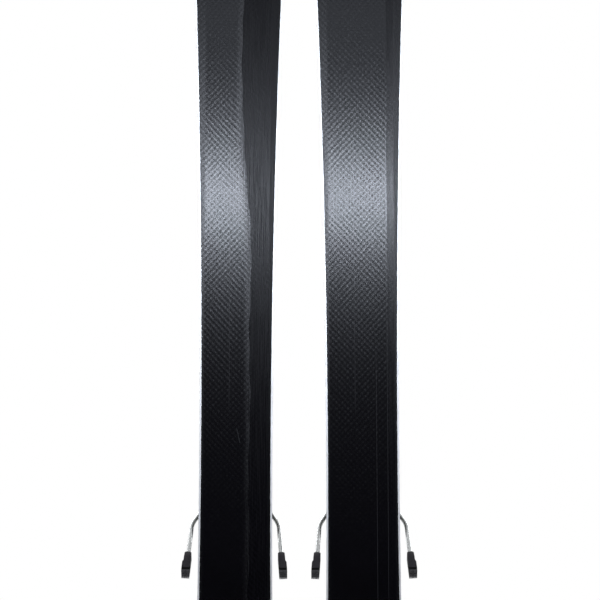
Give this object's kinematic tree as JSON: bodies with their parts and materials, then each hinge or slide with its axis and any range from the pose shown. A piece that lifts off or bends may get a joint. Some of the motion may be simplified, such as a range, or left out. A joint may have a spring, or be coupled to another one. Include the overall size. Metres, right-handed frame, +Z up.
{
  "type": "pair of alpine skis with bindings",
  "caption": "Pair of upright alpine skis seen from their black bases, with steel edges, layered bodies, release bindings and lowered wire brakes.",
  "frame": {"origin": "midway between the two skis, on the line where a rack bar at shovel height touches both topsheets", "axes": "+Z up, towards the ski tips; -Y the way the bases face; +X to the right when the bases are looked at"},
  "size_m": [0.2484, 0.1299, 1.577],
  "materials": {
    "base_black": "waxed, stone-ground polyethylene",
    "edge_steel": "ground along its length",
    "sidewall_black": "milled",
    "core_wood": "sawn laminated strips",
    "laminate_fibre": "glass fibre in resin",
    "topsheet_print": "satin",
    "plastic_black": "fine moulded texture",
    "plastic_grey": "fine moulded texture",
    "metal_grey": "die cast, satin",
    "screw_steel": "zinc plated",
    "spring_steel": "phosphated",
    "slide_white": "low-friction plastic",
    "lever_red": "fine moulded texture",
    "wire_chrome": "bright",
    "brake_plastic": "moulded"
  },
  "bodies": {
    "skis": {"left_base": "base_black", "left_steel_edges": "edge_steel", "left_sidewalls": "sidewall_black", "left_core": "core_wood", "left_laminates": "laminate_fibre", "left_topsheet": "topsheet_print", "left_toe_plate": "plastic_black", "left_toe_screws": "screw_steel", "left_toe_housing": "plastic_black", "left_toe_wing_pins": "screw_steel", "left_toe_draw_bar": "screw_steel", "left_toe_spring": "spring_steel", "left_heel_track": "plastic_black", "left_heel_screws": "screw_steel", "left_brake_bracket": "plastic_black", "right_base": "base_black", "right_steel_edges": "edge_steel", "right_sidewalls": "sidewall_black", "right_core": "core_wood", "right_laminates": "laminate_fibre", "right_topsheet": "topsheet_print", "right_toe_plate": "plastic_black", "right_toe_screws": "screw_steel", "right_toe_housing": "plastic_black", "right_toe_wing_pins": "screw_steel", "right_toe_draw_bar": "screw_steel", "right_toe_spring": "spring_steel", "right_heel_track": "plastic_black", "right_heel_screws": "screw_steel", "right_brake_bracket": "plastic_black"},
    "left_toe_wing_inner": {"left_toe_wing_inner": "metal_grey"},
    "left_toe_wing_outer": {"left_toe_wing_outer": "metal_grey"},
    "left_toe_slide": {"left_toe_slide_plate": "slide_white"},
    "left_toe_adjuster": {"left_toe_release_screw": "screw_steel"},
    "left_heel_carriage": {"left_heel_carriage": "plastic_grey", "left_heel_axle": "screw_steel"},
    "left_heel_worm": {"left_heel_worm_screw": "screw_steel"},
    "left_heel_head": {"left_heel_housing": "plastic_black", "left_heel_cup": "metal_grey", "left_heel_spring": "spring_steel"},
    "left_heel_lever": {"left_heel_lever": "lever_red"},
    "left_heel_adjuster": {"left_heel_release_screw": "screw_steel"},
    "left_brake": {"left_brake_wire": "wire_chrome", "left_brake_tips": "brake_plastic", "left_brake_pedal": "plastic_grey"},
    "right_toe_wing_inner": {"right_toe_wing_inner": "metal_grey"},
    "right_toe_wing_outer": {"right_toe_wing_outer": "metal_grey"},
    "right_toe_slide": {"right_toe_slide_plate": "slide_white"},
    "right_toe_adjuster": {"right_toe_release_screw": "screw_steel"},
    "right_heel_carriage": {"right_heel_carriage": "plastic_grey", "right_heel_axle": "screw_steel"},
    "right_heel_worm": {"right_heel_worm_screw": "screw_steel"},
    "right_heel_head": {"right_heel_housing": "plastic_black", "right_heel_cup": "metal_grey", "right_heel_spring": "spring_steel"},
    "right_heel_lever": {"right_heel_lever": "lever_red"},
    "right_heel_adjuster": {"right_heel_release_screw": "screw_steel"},
    "right_brake": {"right_brake_wire": "wire_chrome", "right_brake_tips": "brake_plastic", "right_brake_pedal": "plastic_grey"}
  },
  "joints": [
    {"name": "left_toe_wing_inner_swing", "type": "hinge", "parent": "skis", "child": "left_toe_wing_inner", "pos_m": [-0.04504, 0.04134, -0.40314], "axis": [0, -1, 0], "range_deg": [0, 30], "stiffness_Nm_per_rad": 4, "springref_deg": -17.19},
    {"name": "left_toe_wing_outer_swing", "type": "hinge", "parent": "skis", "child": "left_toe_wing_outer", "pos_m": [-0.08503, 0.04134, -0.40287], "axis": [0, 1, 0], "range_deg": [0, 30], "stiffness_Nm_per_rad": 4, "springref_deg": -17.19},
    {"name": "left_toe_slide_shift", "type": "slide", "parent": "skis", "child": "left_toe_slide", "axis": [-1, 0, 0.007], "range_m": [-0.008, 0.008], "stiffness_N_per_m": 300},
    {"name": "left_toe_adjuster_turn", "type": "hinge", "parent": "skis", "child": "left_toe_adjuster", "pos_m": [-0.06458, 0.04034, -0.33751], "axis": [0.007, 0, 1], "range_deg": [-1080, 1080]},
    {"name": "left_heel_carriage_slide", "type": "slide", "parent": "skis", "child": "left_heel_carriage", "axis": [0.007, 0, 1], "range_m": [-0.015, 0.015]},
    {"name": "left_heel_worm_turn", "type": "hinge", "parent": "left_heel_carriage", "child": "left_heel_worm", "pos_m": [-0.06761, 0.01824, -0.7725], "axis": [0.007, 0, 1], "range_deg": [-1810, 1810]},
    {"name": "left_heel_head_tip", "type": "hinge", "parent": "left_heel_carriage", "child": "left_heel_head", "pos_m": [-0.06744, 0.03334, -0.748], "axis": [1, 0, -0.007], "range_deg": [0, 34]},
    {"name": "left_heel_lever_swing", "type": "hinge", "parent": "left_heel_head", "child": "left_heel_lever", "pos_m": [-0.06767, 0.05434, -0.78], "axis": [1, 0, -0.007], "range_deg": [0, 17]},
    {"name": "left_heel_adjuster_turn", "type": "hinge", "parent": "left_heel_head", "child": "left_heel_adjuster", "pos_m": [-0.06783, 0.04834, -0.803], "axis": [0.007, 0, 1], "range_deg": [-1080, 1080]},
    {"name": "left_brake_swing", "type": "hinge", "parent": "skis", "child": "left_brake", "pos_m": [-0.0671, 0.01984, -0.698], "axis": [1, 0, -0.007], "range_deg": [0, 45], "stiffness_Nm_per_rad": 0.8, "springref_deg": -34.38},
    {"name": "right_toe_wing_inner_swing", "type": "hinge", "parent": "skis", "child": "right_toe_wing_inner", "pos_m": [0.04504, 0.04134, -0.40314], "axis": [0, 1, 0], "range_deg": [0, 30], "stiffness_Nm_per_rad": 4, "springref_deg": -17.19},
    {"name": "right_toe_wing_outer_swing", "type": "hinge", "parent": "skis", "child": "right_toe_wing_outer", "pos_m": [0.08503, 0.04134, -0.40287], "axis": [0, -1, 0], "range_deg": [0, 30], "stiffness_Nm_per_rad": 4, "springref_deg": -17.19},
    {"name": "right_toe_slide_shift", "type": "slide", "parent": "skis", "child": "right_toe_slide", "axis": [-1, 0, -0.007], "range_m": [-0.008, 0.008], "stiffness_N_per_m": 300},
    {"name": "right_toe_adjuster_turn", "type": "hinge", "parent": "skis", "child": "right_toe_adjuster", "pos_m": [0.06458, 0.04034, -0.33751], "axis": [-0.007, 0, 1], "range_deg": [-1080, 1080]},
    {"name": "right_heel_carriage_slide", "type": "slide", "parent": "skis", "child": "right_heel_carriage", "axis": [-0.007, 0, 1], "range_m": [-0.015, 0.015]},
    {"name": "right_heel_worm_turn", "type": "hinge", "parent": "right_heel_carriage", "child": "right_heel_worm", "pos_m": [0.06761, 0.01824, -0.7725], "axis": [-0.007, 0, 1], "range_deg": [-1810, 1810]},
    {"name": "right_heel_head_tip", "type": "hinge", "parent": "right_heel_carriage", "child": "right_heel_head", "pos_m": [0.06744, 0.03334, -0.748], "axis": [1, 0, 0.007], "range_deg": [0, 34]},
    {"name": "right_heel_lever_swing", "type": "hinge", "parent": "right_heel_head", "child": "right_heel_lever", "pos_m": [0.06767, 0.05434, -0.78], "axis": [1, 0, 0.007], "range_deg": [0, 17]},
    {"name": "right_heel_adjuster_turn", "type": "hinge", "parent": "right_heel_head", "child": "right_heel_adjuster", "pos_m": [0.06783, 0.04834, -0.803], "axis": [-0.007, 0, 1], "range_deg": [-1080, 1080]},
    {"name": "right_brake_swing", "type": "hinge", "parent": "skis", "child": "right_brake", "pos_m": [0.0671, 0.01984, -0.698], "axis": [1, 0, 0.007], "range_deg": [0, 45], "stiffness_Nm_per_rad": 0.8, "springref_deg": -34.38}
  ],
  "couplings": [
    {"joint": "left_heel_worm_turn", "follows": "left_heel_carriage_slide", "rad_per_m": 2094.4},
    {"joint": "left_heel_lever_swing", "follows": "left_heel_head_tip", "ratio": 0.5},
    {"joint": "right_heel_worm_turn", "follows": "right_heel_carriage_slide", "rad_per_m": 2094.4},
    {"joint": "right_heel_lever_swing", "follows": "right_heel_head_tip", "ratio": 0.5}
  ]
}
